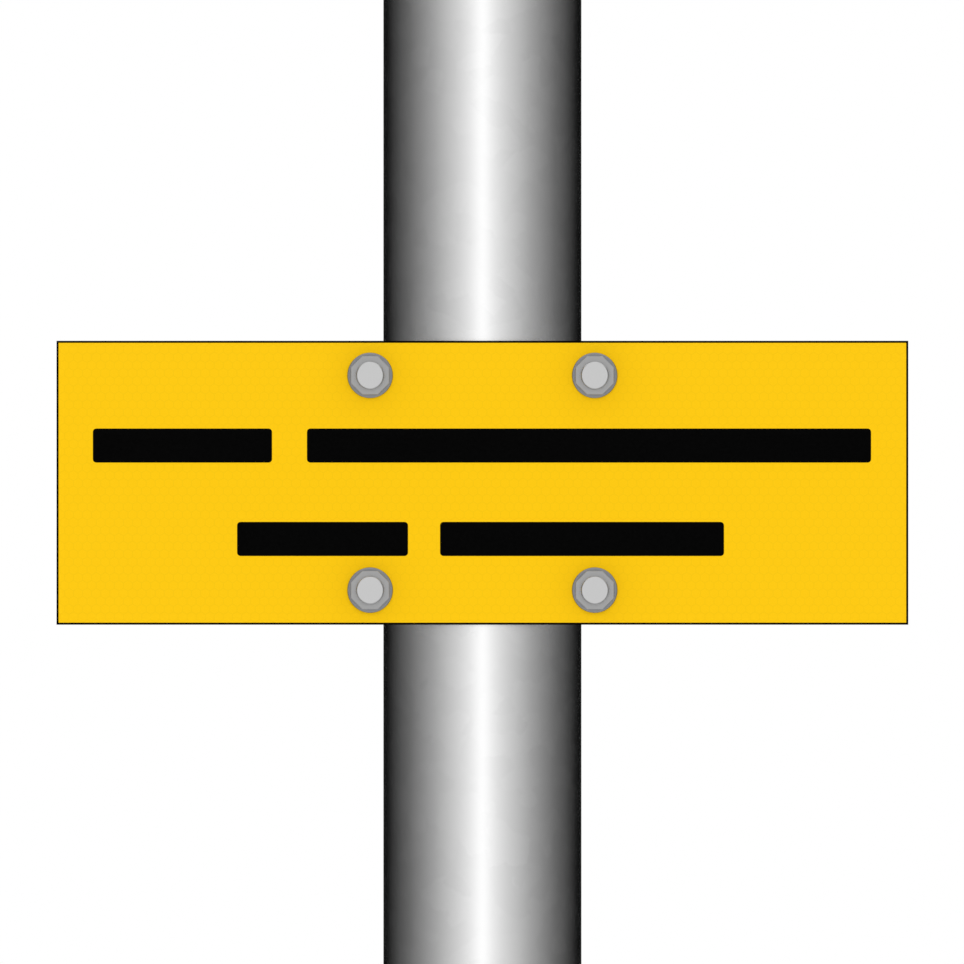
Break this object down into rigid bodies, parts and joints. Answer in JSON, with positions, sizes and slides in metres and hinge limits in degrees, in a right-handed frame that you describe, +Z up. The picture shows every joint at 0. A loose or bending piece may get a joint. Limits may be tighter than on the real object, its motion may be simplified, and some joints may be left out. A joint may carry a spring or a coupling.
{
  "type": "post-mounted sign",
  "caption": "Rectangular sign plate clamped to a round steel post by U-bolts, with a plastic cap and a gusseted base flange that bolts to the ground.",
  "frame": {"origin": "centre of the base flange's underside, on the post's axis", "axes": "+Z up along the post, -Y out of the sign's printed face, +X to the right as the sign is read"},
  "size_m": [0.3, 0.2, 1.513],
  "materials": {
    "post_steel": "hot-dip galvanised, satin",
    "weld_bead": "galvanised weld bead",
    "cap_plastic": "moulded black plastic",
    "sheet_aluminium": "bare rolled aluminium sheet",
    "yellow_film": "yellow reflective film with a black edge line",
    "rod_steel": "zinc plated",
    "saddle_metal": "cast, lightly blasted",
    "washer_steel": "zinc plated, dull",
    "nut_steel": "zinc plated"
  },
  "bodies": {
    "root": {"base_flange": "post_steel", "base_weld": "weld_bead", "post_tube": "post_steel", "post_cap": "cap_plastic", "sign_sheet": "sheet_aluminium", "sign_face": "yellow_film", "gusset_right": "post_steel", "gusset_back": "post_steel", "gusset_left": "post_steel", "gusset_front": "post_steel", "u_bolt_upper": "rod_steel", "saddle_upper": "saddle_metal", "washer_upper_left": "washer_steel", "nut_upper_left": "nut_steel", "washer_upper_right": "washer_steel", "nut_upper_right": "nut_steel", "u_bolt_lower": "rod_steel", "saddle_lower": "saddle_metal", "washer_lower_left": "washer_steel", "nut_lower_left": "nut_steel", "washer_lower_right": "washer_steel", "nut_lower_right": "nut_steel"}
  },
  "joints": []
}
